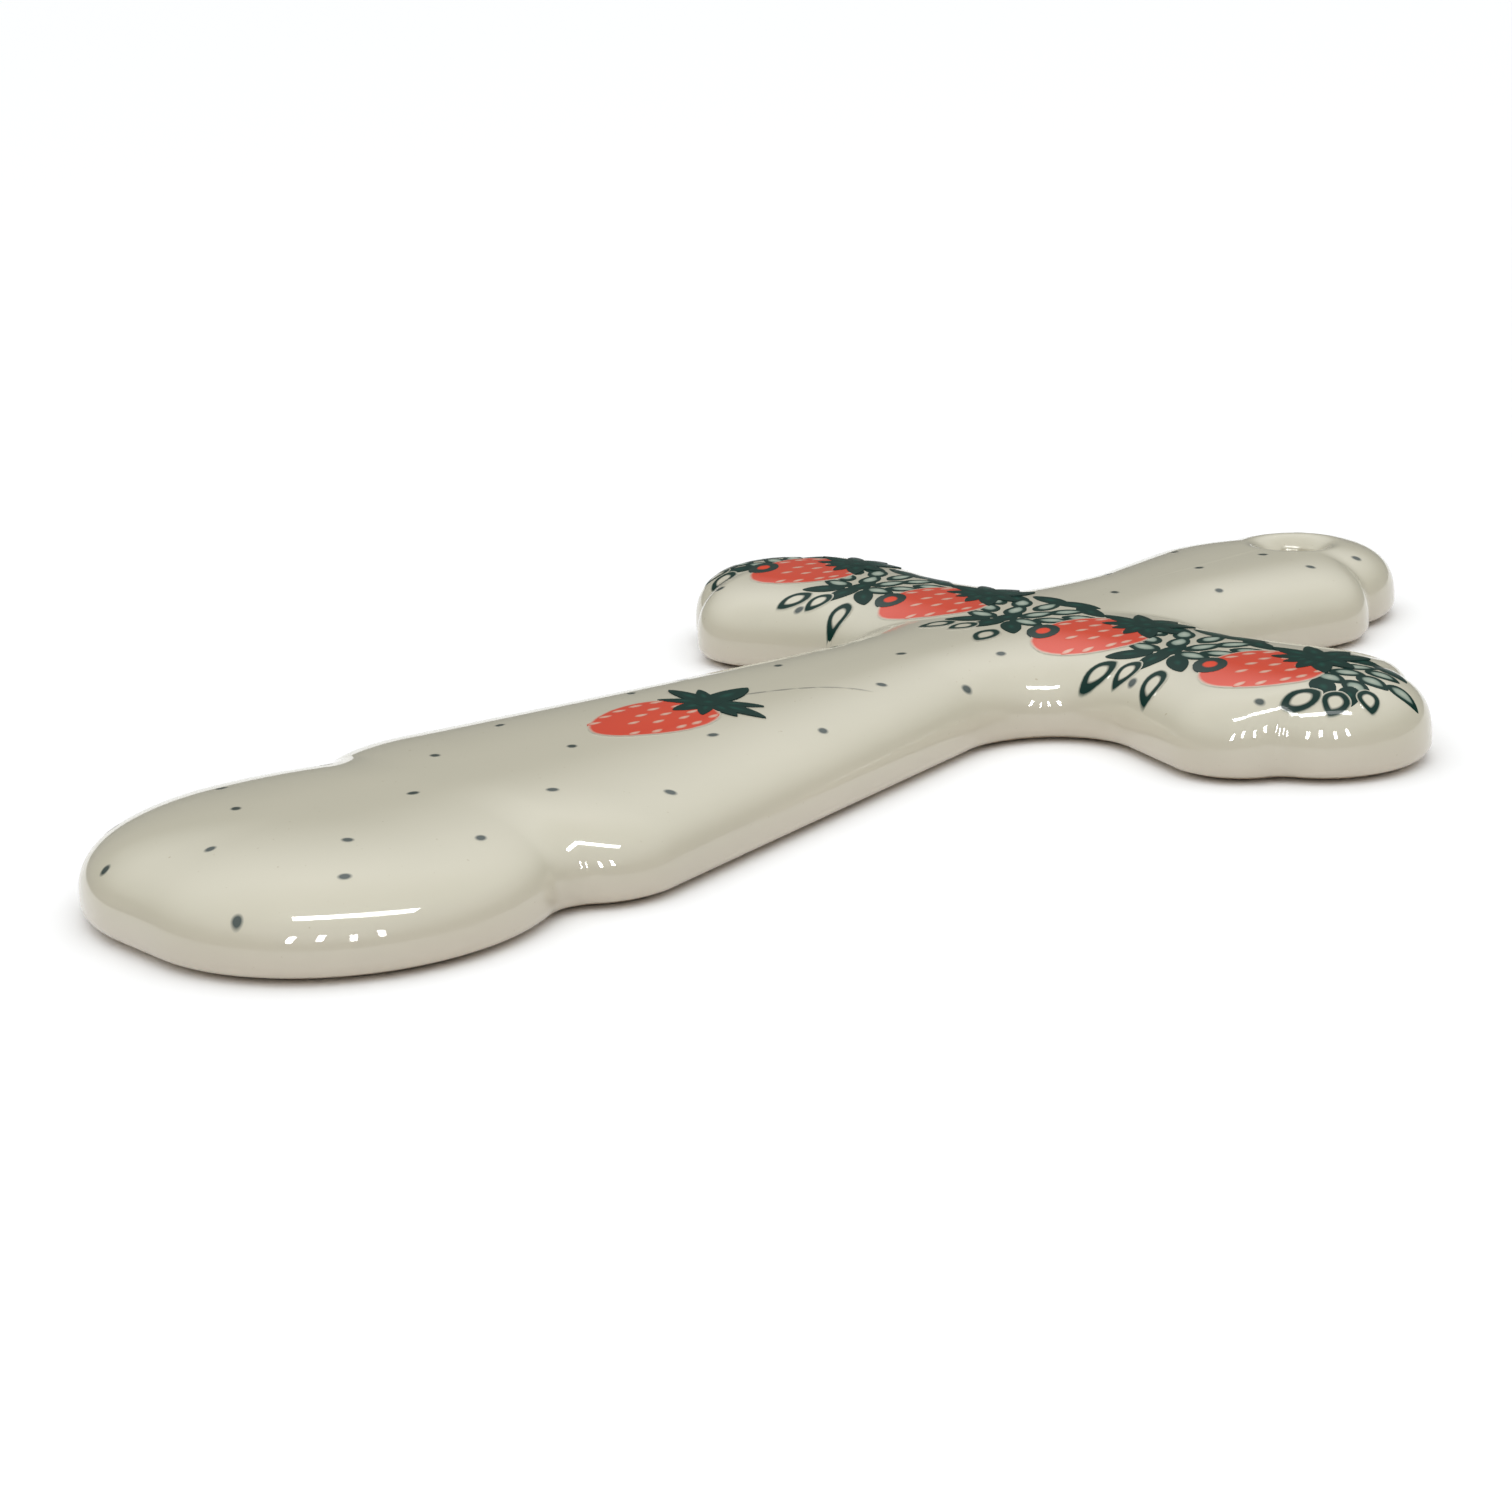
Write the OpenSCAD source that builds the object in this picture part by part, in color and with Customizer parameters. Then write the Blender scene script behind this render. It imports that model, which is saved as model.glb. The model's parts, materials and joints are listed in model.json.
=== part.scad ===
// Hand-painted glazed stoneware wall cross with budded arms, lying on its back.
// X runs along the crossbar, Y up the cross towards its hanging hole, Z out of the face.
// The origin is the centre of the crossing, on the flat back.

/* [Cross] */
// Length of the lower limb, from the crossing to its tip
lower_limb = 154; // [129:1:185]
// Length of the upper limb, from the crossing to its tip
upper_limb = 77; // [65:1:93]
// Reach of each side arm, from the crossing to its tip
arm_reach = 69.5; // [58:0.5:84]
// Thickness from the flat back to the crown of the face
thickness = 12.2; // [10.2:0.1:14.6]

/* [Section] */
// Fullness of the domed face: 2 is an ellipse, more is a flatter pillow
crown_power = 2.85; // [2:0.05:4]
// Height at which the flank is widest
flank_height = 2.6; // [2.2:0.1:3.1]
// How far the foot is drawn in under the flank
foot_inset = 4; // [3:0.1:5]

/* [Waist] */
// Half width of the limbs where they meet the crossing
waist_x = 17.8; // [15:0.1:21]
// Half width of the crossbar where it meets the crossing
waist_y = 16; // [13.5:0.1:19]
// Radius of the lower armpits
lower_pit_r = 12; // [10:0.5:14.5]
// Radius of the upper armpits
upper_pit_r = 11.5; // [9.5:0.5:14]

/* [Lower end] */
// Radius of the round lobe
lower_lobe_r = 27.5; // [23:0.5:33]
// Half length of the straight stretch across the tip
lower_flat = 5; // [3:0.5:7]
// Radius of the small side buds
lower_bud_r = 12.3; // [10.5:0.1:14.7]
// How far the buds stand out of the lobe's circle
lower_bud_proud = 16.3; // [13.6:0.1:18]
// Angle of the buds away from the limb's axis
lower_bud_angle = 29; // [25:0.5:34]
// Radius of the soft notch between bud and lobe
lower_notch_r = 5; // [4.2:0.1:6]

/* [Arm ends] */
// Radius of the round lobe
arm_lobe_r = 14.5; // [12:0.5:17]
// Radius of the small side buds
arm_bud_r = 11.6; // [9.6:0.1:14]
// How far the buds stand out of the lobe's circle
arm_bud_proud = 8.4; // [7:0.1:10]
// Angle of the buds away from the arm's axis
arm_bud_angle = 54; // [46:1:62]
// Radius of the soft notch between bud and lobe
arm_notch_r = 4; // [3.4:0.1:4.8]

/* [Upper end] */
// Radius of the round lobe
upper_lobe_r = 16.5; // [14:0.1:20]
// Radius of the small side buds
upper_bud_r = 10.6; // [9:0.1:12.6]
// How far the buds stand out of the lobe's circle
upper_bud_proud = 10.2; // [8.5:0.1:12.2]
// Angle of the buds away from the limb's axis
upper_bud_angle = 44.5; // [37:0.5:53]
// Radius of the soft notch between bud and lobe
upper_notch_r = 3.5; // [3:0.1:4.2]

/* [Hanging hole] */
// Distance from the middle of the hole to the upper tip
hole_to_tip = 16; // [13.5:0.5:19]
// Radius of the hole
hole_r = 4; // [3.3:0.1:4.8]
// Radius of the rounded lip at the front of the hole
lip_r = 2.2; // [1.8:0.1:2.7]
// Radius of the small rounding at the back of the hole
back_lip_r = 0.8; // [0.5:0.1:1]

/* [Glaze and colour] */
// Thickness of the glaze coat
glaze_t = 0.5; // [0.4:0.05:0.6]
// Height above the back at which the glaze stops, leaving a bare foot
glaze_line = 1; // [0.8:0.1:1.2]
// How far a brushed coat of colour stands on the glaze
paint_t = 0.2; // [0.15:0.05:0.3]

/* [Painting] */
// Width of a strawberry
berry_w = 17; // [14:0.5:20]
// Length of a strawberry
berry_l = 18; // [15:0.5:21.5]
// Distance from the crossing down to the lone strawberry
lone_drop = 74; // [62:1:88]
// Distance from each arm's tip in to the garland's outer strawberry
garland_margin = 21.5; // [18:0.5:25.5]
// How far the garland's strawberries hang below the crossbar's axis
garland_drop = 4; // [3:0.5:5]
// Radius of a dark dot
dot_r = 1; // [0.8:0.1:1.2]
// Width of a fine brush stroke
stroke_w = 1; // [0.8:0.1:1.3]
// Length of a leaf
leaf_l = 10; // [8.5:0.5:12]
// Width of a leaf
leaf_w = 3.6; // [3:0.1:4.4]

/* [Hidden] */

clay = [0.85, 0.79, 0.70];
cream = [0.93, 0.91, 0.84];
red = [0.85, 0.22, 0.12];
green = [0.05, 0.18, 0.15];
grey_green = [0.25, 0.30, 0.27];
pale_pink = [0.97, 0.75, 0.66];

// Longest straight stretch and widest turn of the faceted outline
chord = 6;
turn_step = 15;
// Shortest join between two circles that gets points of its own
least_join = 0.3;
// How deep a coat of colour bites into the glaze
paint_bite = 0.05;
foot_steps = 2;
crown_steps = 7;
crown_last = 84;
lip_steps = 4;

// ---------- plan outline ----------
// A circle is [x, y, radius, side]: side 1 bulges out and side -1 curves in.

function heading(a) = [cos(a), sin(a)];
function centre(c) = [c.x, c.y];
function mirrored(c) = [-c.x, c.y, c[2], c[3]];
function blend(a, b, w) = a + (b - a) * w;
function wrapped(a) = let (m = a - 360 * floor(a / 360)) m > 350 ? 0 : m;
function limited(v, low, high) = min(max(v, low), high);

// A bud's place from the middle of its lobe: sideways, then back along the limb
function bud_offset(lobe_r, bud_r, proud, angle) = (lobe_r + proud - bud_r) * [sin(angle), cos(angle)];

// The circle that fills the notch between two bulging circles, on the outer side
function notch(a, b, r) = let (
    gap = centre(b) - centre(a), l = norm(gap), u = gap / l,
    ra = a[2] + r, rb = b[2] + r,
    along = (l * l + ra * ra - rb * rb) / (2 * l),
    out = sqrt(max(ra * ra - along * along, 0))
) [a.x + u.x * along + u.y * out, a.y + u.y * along - u.x * out, r, -1];

// How far a circle of radius r must stay from a bud, measured across, when it is off by d along
function clear_of(bud, r, d) = let (reach = bud[2] + r) abs(d) < reach ? sqrt(reach * reach - d * d) : -1e3;

// An armpit circle: at the waist, or further out where the buds need the room
function armpit(up, r, arm_bud, limb_bud) = let (
    x = waist_x + r,
    y = max(waist_y + r, abs(arm_bud.y) + clear_of(arm_bud, r, x - arm_bud.x)),
    x2 = max(x, limb_bud.x + clear_of(limb_bud, r, y - abs(limb_bud.y)))
) [x2, up * y, r, -1];

spine_low = lower_limb - lower_lobe_r;
spine_up = upper_limb - upper_lobe_r;
spine_arm = arm_reach - arm_lobe_r;

low_off = bud_offset(lower_lobe_r, lower_bud_r, lower_bud_proud, lower_bud_angle);
arm_off = bud_offset(arm_lobe_r, arm_bud_r, arm_bud_proud, arm_bud_angle);
up_off = bud_offset(upper_lobe_r, upper_bud_r, upper_bud_proud, upper_bud_angle);

low_lobe = [lower_flat, -spine_low, lower_lobe_r, 1];
low_bud = [lower_flat + low_off.x, low_off.y - spine_low, lower_bud_r, 1];
arm_bud_low = [spine_arm - arm_off.y, -arm_off.x, arm_bud_r, 1];
arm_lobe = [spine_arm, 0, arm_lobe_r, 1];
arm_bud_up = [arm_bud_low.x, -arm_bud_low.y, arm_bud_r, 1];
up_bud = [up_off.x, spine_up - up_off.y, upper_bud_r, 1];
up_lobe = [0, spine_up, upper_lobe_r, 1];
low_pit = armpit(-1, lower_pit_r, arm_bud_low, low_bud);
up_pit = armpit(1, upper_pit_r, arm_bud_up, up_bud);

right_side = [
    low_lobe, notch(low_lobe, low_bud, lower_notch_r), low_bud, low_pit,
    arm_bud_low, notch(arm_bud_low, arm_lobe, arm_notch_r), arm_lobe,
    notch(arm_lobe, arm_bud_up, arm_notch_r), arm_bud_up, up_pit,
    up_bud, notch(up_bud, up_lobe, upper_notch_r), up_lobe
];
circles = concat(right_side, [for (i = [len(right_side) - 2 : -1 : 0]) mirrored(right_side[i])]);
count = len(circles);

// Outward direction of the straight line that joins two circles of the outline
function join_angle(a, b) = let (d = centre(b) - centre(a), k = (b[3] * b[2] - a[3] * a[2]) / norm(d))
    atan2(d.y, d.x) + acos(limited(k, -1, 1)) + 180;
joins = [for (i = [0 : count - 1]) join_angle(circles[i], circles[(i + 1) % count])];

// Points [place, outward direction] round one circle and along the line that follows it
function on_circle(c, a) = centre(c) + c[3] * c[2] * heading(a);
function arc_points(c, a_in, a_out) = let (
    sweep = wrapped(c[3] * (a_out - a_in)),
    n = sweep < 0.1 ? 0 : max(ceil(sweep * c[2] * PI / 180 / chord), ceil(sweep / turn_step))
) [for (j = [0 : 1 : n - 1]) let (a = a_in + c[3] * sweep * j / n) [on_circle(c, a), heading(a)]];
function join_points(p, q, a) = let (l = norm(q - p), n = l < least_join ? 0 : ceil(l / chord))
    [for (j = [0 : 1 : n - 1]) [blend(p, q, j / n), heading(a)]];

outline = [for (i = [0 : count - 1]) let (c = circles[i], next = circles[(i + 1) % count], a = joins[i])
    each concat(arc_points(c, joins[(i + count - 1) % count], a),
                join_points(on_circle(c, a), on_circle(next, a), a))];
edge = [for (p = outline) p[0]];
outward = [for (p = outline) p[1]];
sides = len(edge);

// ---------- domed section ----------
// Every outline point has a partner on the axes of the cross, and the face falls from one to the other.

function partner(p) = let (
    pit = p.y < 0 ? low_pit : up_pit,
    past_x = abs(p.x) - pit.x, past_y = abs(p.y) - abs(pit.y),
    turn = atan2(-past_y, -past_x) / 90,
    q = max(past_x, past_y) >= 0
        ? (past_y > past_x ? [0, p.y] : [p.x, 0])
        : turn < 0.5 ? [0, sign(p.y) * abs(pit.y) * (1 - 2 * turn)]
                     : [sign(p.x) * pit.x * (2 * turn - 1), 0]
) [limited(q.x, -spine_arm, spine_arm), limited(q.y, -spine_low, spine_up)];
hub = [for (p = edge) partner(p)];

function foot_ring(a, inset) = [for (i = [0 : sides - 1])
    let (p = edge[i] - outward[i] * (inset + foot_inset * (1 - sin(a))))
    [p.x, p.y, flank_height * (1 - cos(a))]];
function crown_ring(a, inset) = let (
    shrink = pow(cos(a), 2 / crown_power),
    rise = pow(sin(a), 2 / crown_power)
) [for (i = [0 : sides - 1]) let (p = blend(hub[i], edge[i] - outward[i] * inset, shrink))
    [p.x, p.y, flank_height + (thickness - inset - flank_height) * rise]];

glaze_angle = acos(1 - glaze_line / flank_height);
foot_angles = [for (i = [0 : foot_steps - 1]) blend(glaze_angle, 90, i / foot_steps)];
crown_angles = [for (i = [0 : crown_steps]) crown_last * i / crown_steps];
function glazed_rings(inset) = concat([for (a = foot_angles) foot_ring(a, inset)],
                                      [for (a = crown_angles) crown_ring(a, inset)]);

// The armpit points nearest the crossing split a ring into a square and four limbs
function crossing_point(sx, sy) = let (
    off = [for (i = [0 : sides - 1]) sx * edge[i].x > 0 && sy * edge[i].y > 0 ? norm(hub[i]) : 1e3]
) search(min(off), off)[0];
corners = [crossing_point(1, -1), crossing_point(1, 1), crossing_point(-1, 1), crossing_point(-1, -1)];
limb_ways = [[1, 0, 0], [0, 1, 0], [-1, 0, 0], [0, -1, 0]];

// Triangles across one limb of a ring, zipped from its root at i and j out to its tip
function zip(ring, i, j, way) = j - i < 2 ? [] : let (
    ahead = ring[(i + 1) % sides] * way <= ring[(j - 1) % sides] * way + 1e-6
) concat([ahead ? [i, i + 1, j] : [i, j - 1, j]], zip(ring, ahead ? i + 1 : i, ahead ? j : j - 1, way));
function cap(ring) = concat(
    [[corners[0], corners[1], corners[2]], [corners[0], corners[2], corners[3]]],
    [for (k = [0 : 3]) let (i = corners[k], j = corners[(k + 1) % 4])
        each zip(ring, i, j < i ? j + sides : j, limb_ways[k])]);

// A closed solid through a list of rings, with a flat cap on the first and the last
module loft(rings) {
    top = len(rings) - 1;
    walls = [for (k = [0 : top - 1], i = [0 : sides - 1])
        let (j = (i + 1) % sides, a = k * sides + i, b = k * sides + j, c = a + sides, d = b + sides)
        each [[a, d, b], [a, c, d]]];
    floor = [for (f = cap(rings[0])) [for (i = f) i % sides]];
    roof = [for (f = cap(rings[top])) [for (i = [f[2], f[1], f[0]]) top * sides + i % sides]];
    polyhedron([for (r = rings) each r], concat(floor, walls, roof));
}

// ---------- hanging hole ----------

hole_y = upper_limb - hole_to_tip;
quarter = [for (i = [0 : lip_steps]) 90 * i / lip_steps];
module hole_cutter() {
    translate([0, hole_y, 0])
        rotate_extrude($fn = 64)
            polygon(concat(
                [[0, -1], [hole_r + back_lip_r, -1]],
                [for (a = quarter) [hole_r + back_lip_r * (1 - sin(a)), back_lip_r * (1 - cos(a))]],
                [for (a = quarter) [hole_r + lip_r * (1 - cos(a)), thickness - lip_r * (1 - sin(a))]],
                [[hole_r + lip_r, thickness + 1], [0, thickness + 1]]));
}

module clay_body() {
    color(clay)
        difference() {
            loft(concat([foot_ring(0, glaze_t)], glazed_rings(glaze_t)));
            hole_cutter();
        }
}

module glaze_coat() {
    inner = glazed_rings(glaze_t);
    color(cream)
        difference() {
            loft(concat([for (k = [len(inner) - 1 : -1 : 0]) inner[k]], glazed_rings(0)));
            hole_cutter();
        }
}

// ---------- height of the face, for the coats of colour that follow it ----------

function turn_of(a, b) = a.x * b.y - a.y * b.x;
function beside(i, p) = turn_of(edge[i] - hub[i], p - hub[i]);
function shares(p) = [for (i = [0 : sides - 1])
    let (j = (i + 1) % sides, a = beside(i, p), b = beside(j, p))
    if (a >= 0 && b < 0 && (edge[i] - hub[i]) * (p - hub[i]) >= 0)
        let (w = a / (a - b), q = blend(hub[i], hub[j], w))
            norm(p - q) / norm(blend(edge[i], edge[j], w) - q)];
function share(p) = let (found = shares(p)) len(found) > 0 ? min(1, min(found)) : 0;
function face_z(p) = flank_height
    + (thickness - flank_height) * pow(1 - pow(share(p), crown_power), 1 / crown_power);
function lifted(points, rise) = [for (p = points) [p.x, p.y, face_z(p) + rise]];

// A patch of colour inside a closed line that can be seen all round from its middle
module patch(middle, line) {
    n = len(line);
    plan = concat([middle], [for (p = line) blend(middle, p, 0.6)], line);
    m = len(plan);
    fan = [for (i = [0 : n - 1]) let (a = 1 + i, b = 1 + (i + 1) % n)
        each [[0, b, a], [a, b, a + n], [b, b + n, a + n]]];
    under = [for (f = fan) [f[0] + m, f[2] + m, f[1] + m]];
    rim = [for (i = [0 : n - 1]) let (a = 1 + n + i, b = 1 + n + (i + 1) % n)
        each [[a, b, b + m], [a, b + m, a + m]]];
    polyhedron(concat(lifted(plan, paint_t), lifted(plan, -paint_bite)), concat(fan, under, rim));
}

// A stroke of colour that closes on itself, between two lines with the same number of points
module loop_stroke(outer, inner) {
    n = len(outer);
    m = 2 * n;
    faces = [for (i = [0 : n - 1]) let (j = (i + 1) % n) each [
        [i, i + n, j], [j, i + n, j + n],
        [i + m, j + m, i + n + m], [j + m, j + n + m, i + n + m],
        [i, j, j + m], [i, j + m, i + m],
        [i + n, j + n + m, j + n], [i + n, i + n + m, j + n + m]]];
    plan = concat(outer, inner);
    polyhedron(concat(lifted(plan, paint_t), lifted(plan, -paint_bite)), faces);
}

function placed(line, middle, angle) = [for (p = line)
    middle + [p.x * cos(angle) - p.y * sin(angle), p.x * sin(angle) + p.y * cos(angle)]];
function oval(l, w, n) = [for (i = [0 : n - 1]) let (a = 360 * i / n) [l / 2 * cos(a), w / 2 * sin(a)]];
function pointed(l, w, n) = [for (i = [0 : n - 1]) let (a = 360 * i / n)
    [l / 2 * cos(a), w / 2 * sin(a) * abs(sin(a))]];
function berry_line(n) = [for (i = [0 : n - 1]) let (a = 90 + 360 * i / n)
    [berry_w / 2 * cos(a) * (0.92 + 0.22 * sin(a)), berry_l / 2 * sin(a)]];
function star(points, r, n) = [for (i = [0 : n - 1]) let (a = 360 * i / n)
    r * (0.3 + 0.7 * pow(abs(cos(points * a / 2)), 2)) * heading(a)];

// ---------- the painting ----------

lone_place = [0, -lone_drop];
pitch = (2 * arm_reach - 2 * garland_margin) / 3;
berry_places = [for (i = [0 : 3]) [(i - 1.5) * pitch, -garland_drop]];
gap_places = [for (i = [0 : 2]) [(i - 1) * pitch, -garland_drop]];
berry_tilt = -15;
lone_neck = lone_place + [0, berry_l / 2 + 2];

// Sepals at the upper right of a garland strawberry, and the open ring at its lower left
garland_neck = [0.33 * berry_w, 0.62 * berry_l];
garland_calyx_r = 0.28 * berry_w;
ring_place = [-0.5 * berry_w - stroke_w, -0.25 * berry_l];
ring_size = [5.5, 4.5];
ring_stroke = [1.2, 1.2];
ring_angle = 60;

module berry(place, angle) { patch(place, placed(berry_line(16), place, angle)); }
module lone_berry() { color(red) berry(lone_place, 0); }
module garland_berries() { color(red) for (p = berry_places) berry(p, berry_tilt); }

module lone_calyx() { color(green) patch(lone_neck, placed(star(6, berry_w / 2, 30), lone_neck, 30)); }
module lone_stalk() {
    from = lone_neck + [0.6, 0.45 * berry_w];
    bend = [for (i = [0 : 6]) from + [0.22 * i * i, 2 * i]];
    side = [stroke_w / 2, 0];
    color(grey_green)
        for (i = [0 : 5])
            let (a = bend[i], b = bend[i + 1])
                patch((a + b) / 2, [a + side, b + side, b - side, a - side]);
}
module garland_calyxes() {
    color(green)
        for (p = berry_places) {
            at = p + garland_neck;
            patch(at, placed(star(5, garland_calyx_r, 20), at, 20));
        }
}
module garland_rings() {
    color(green)
        for (p = berry_places) {
            at = p + ring_place;
            open = ring_size - 2 * ring_stroke;
            loop_stroke(placed(oval(ring_size.x, ring_size.y, 12), at, ring_angle),
                        placed(oval(open.x, open.y, 12), at, ring_angle));
        }
}

// Leaves of one spray: [across, up, angle] from the middle of its gap
spray = [[-4.5, 11, 130], [0, 12.5, 95], [4.5, 11, 55], [-5, 5, 150], [5, 5, 25], [0, 5.5, 80]];
// Width of the gap that a full-size spray fills, and the share of it that the strawberries leave
spray_gap = 15;
spray_share = min(1, (pitch - berry_w) / spray_gap);
module garland_leaves() {
    color(green)
        for (g = gap_places, leaf = spray)
            let (at = g + spray_share * [leaf[0], leaf[1]])
                patch(at, placed(pointed(spray_share * leaf_l, spray_share * leaf_w, 8), at, leaf[2]));
    color(green)
        for (side = [-1, 1], i = [0 : 2])
            let (at = [side * (arm_reach - garland_margin + berry_w / 2 + 3 + i), 7 - 6 * i])
                patch(at, placed(pointed(0.7 * leaf_l, leaf_w, 8), at, 90 - side * 20 * i));
}
loop_l = 5.2;
loop_w = 3.4;
loop_drop = 7.5;
module leaf_loops() {
    color(green)
        for (g = gap_places, side = [-1, 0, 1])
            let (at = g + [4 * side, abs(side) - loop_drop], angle = 90 + 20 * side)
                loop_stroke(placed(oval(loop_l, loop_w, 12), at, angle),
                            placed(oval(loop_l - 2 * stroke_w, loop_w - 2 * stroke_w, 12), at, angle));
}

// Seeds in staggered rows down a berry: [across, down] in shares of its half width and half length
seeds = [for (row = [0 : 3], i = [-1 : 1]) if (row < 3 || i == 0)
    [(i + (row % 2) * 0.5 - 0.25) * 0.5, 0.5 - 0.4 * row]];
seed_l = 2;
seed_w = 0.9;
module berry_seeds() {
    color(pale_pink)
        for (b = concat([[lone_place, 0]], [for (p = berry_places) [p, berry_tilt]]), s = seeds)
            let (at = placed([[s[0] * berry_w / 2, s[1] * berry_l / 2]], b[0], b[1])[0])
                translate([0, 0, paint_t])
                    patch(at, placed(oval(seed_l, seed_w, 6), at, b[1] + 20));
}

// Dots lie in loose rows across the limbs: [across, along] from the crossing
dot_places = concat(
    [for (row = [0 : 4], i = [-1 : 1]) [14 * i + 4 * (row % 2), -lone_drop - 16 - 13 * row]],
    [for (side = [-1, 1], row = [0 : 3]) [side * 14, -28 - 15 * row]],
    [for (side = [-1, 1]) [side * 6, -lower_limb + 6]],
    [for (side = [-1, 1], row = [0 : 3]) [side * (4 + 4 * (row % 2)), 22 + 9 * row]],
    [for (side = [-1, 1], i = [0 : 1]) [side * (33 + 22 * i), -14.5 - i]]);
module scattered_dots() {
    color(grey_green) for (p = dot_places) patch(p, placed(oval(2 * dot_r, 2 * dot_r, 8), p, 0));
}

clay_body();
glaze_coat();
lone_berry();
lone_calyx();
lone_stalk();
garland_berries();
garland_calyxes();
garland_rings();
garland_leaves();
leaf_loops();
berry_seeds();
scattered_dots();
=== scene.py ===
import bpy
import json
import numpy as np
from math import radians
from mathutils import Matrix, Vector


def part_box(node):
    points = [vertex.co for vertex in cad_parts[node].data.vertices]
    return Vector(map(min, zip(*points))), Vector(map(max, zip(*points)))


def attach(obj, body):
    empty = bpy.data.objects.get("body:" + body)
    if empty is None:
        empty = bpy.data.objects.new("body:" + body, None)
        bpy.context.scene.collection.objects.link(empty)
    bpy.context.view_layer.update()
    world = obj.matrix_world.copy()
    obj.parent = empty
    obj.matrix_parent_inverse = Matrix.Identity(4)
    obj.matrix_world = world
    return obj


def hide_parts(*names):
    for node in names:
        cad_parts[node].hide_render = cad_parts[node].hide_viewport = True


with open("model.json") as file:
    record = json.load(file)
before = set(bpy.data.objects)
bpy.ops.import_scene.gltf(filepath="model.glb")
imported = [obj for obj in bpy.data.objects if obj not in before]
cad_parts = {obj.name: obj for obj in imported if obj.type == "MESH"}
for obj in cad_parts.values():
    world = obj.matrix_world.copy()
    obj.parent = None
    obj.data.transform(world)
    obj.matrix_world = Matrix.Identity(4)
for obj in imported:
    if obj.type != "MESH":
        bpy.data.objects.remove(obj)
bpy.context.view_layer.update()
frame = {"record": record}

# ------------------------------------------------------------------ sizes, in millimetres
# Shape work is done in millimetres, and MM turns it into the frame's metres.
MM = 0.001

clay_low, clay_high = [np.array(v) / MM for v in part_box("clay_body")]
GLAZE_T = 0.5
LOWER_LIMB = round(GLAZE_T - clay_low[1], 1)
UPPER_LIMB = round(GLAZE_T + clay_high[1], 1)
ARM_REACH = round(GLAZE_T + clay_high[0], 1)
THICKNESS = round(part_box("glaze_coat")[1][2] / MM, 1)
CROWN_POWER = 2.85
FLANK_HEIGHT = 2.6
FOOT_INSET = 4.0
GLAZE_LINE = 1.0
WAIST_X, WAIST_Y = 17.8, 16.0
LOWER_PIT_R, UPPER_PIT_R = 12.0, 11.5
LOWER_FLAT = 5.0
# Each end of the cross: lobe radius, bud radius, how proud the bud stands, its angle, notch radius
LOWER_END = (27.5, 12.3, 16.3, 29.0, 5.0)
ARM_END = (14.5, 11.6, 8.4, 54.0, 4.0)
UPPER_END = (16.5, 10.6, 10.2, 44.5, 3.5)

hole = next(m for m in frame["record"]["mounts"] if m["name"] == "hanging_hole")
HOLE_Y = hole["pos_m"][1] / MM
HOLE_R = hole["dims"]["r_mm"]
LIP_WIDTH, LIP_DEPTH = 4.2, 2.3
LIP_FROM = THICKNESS - 2
HOLE_SIDES = 120
# How far the cutter of the hole stands out of the face and the back
CUTTER_OVER = 5.0

# Fineness of a mesh outline: longest stretch in millimetres and widest turn
FINE = (0.8, radians(3))
MEDIUM = (1.2, radians(4))


# ------------------------------------------------------------------ plan outline of the cross
# A circle is (x, y, radius, side): side 1 bulges out and side -1 curves in.

def heading(angle):
    return np.array([np.cos(angle), np.sin(angle)])


def notch(a, b, r):
    """The circle that fills the notch between two bulging circles, on the outer side."""
    gap = np.subtract(b[:2], a[:2])
    length = np.hypot(*gap)
    u = gap / length
    ra, rb = a[2] + r, b[2] + r
    along = (length ** 2 + ra ** 2 - rb ** 2) / (2 * length)
    out = np.sqrt(max(ra ** 2 - along ** 2, 0))
    return (a[0] + u[0] * along + u[1] * out, a[1] + u[1] * along - u[0] * out, r, -1)


def bud_offset(end):
    lobe_r, bud_r, proud, angle, _ = end
    step = lobe_r + proud - bud_r
    return step * np.sin(radians(angle)), step * np.cos(radians(angle))


def clear_of(bud, r, d):
    reach = bud[2] + r
    return np.sqrt(reach ** 2 - d ** 2) if abs(d) < reach else -1e3


def armpit(up, r, arm_bud, limb_bud):
    x = WAIST_X + r
    y = max(WAIST_Y + r, abs(arm_bud[1]) + clear_of(arm_bud, r, x - arm_bud[0]))
    x = max(x, limb_bud[0] + clear_of(limb_bud, r, y - abs(limb_bud[1])))
    return (x, up * y, r, -1)


SPINE_LOW = LOWER_LIMB - LOWER_END[0]
SPINE_UP = UPPER_LIMB - UPPER_END[0]
SPINE_ARM = ARM_REACH - ARM_END[0]


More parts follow.
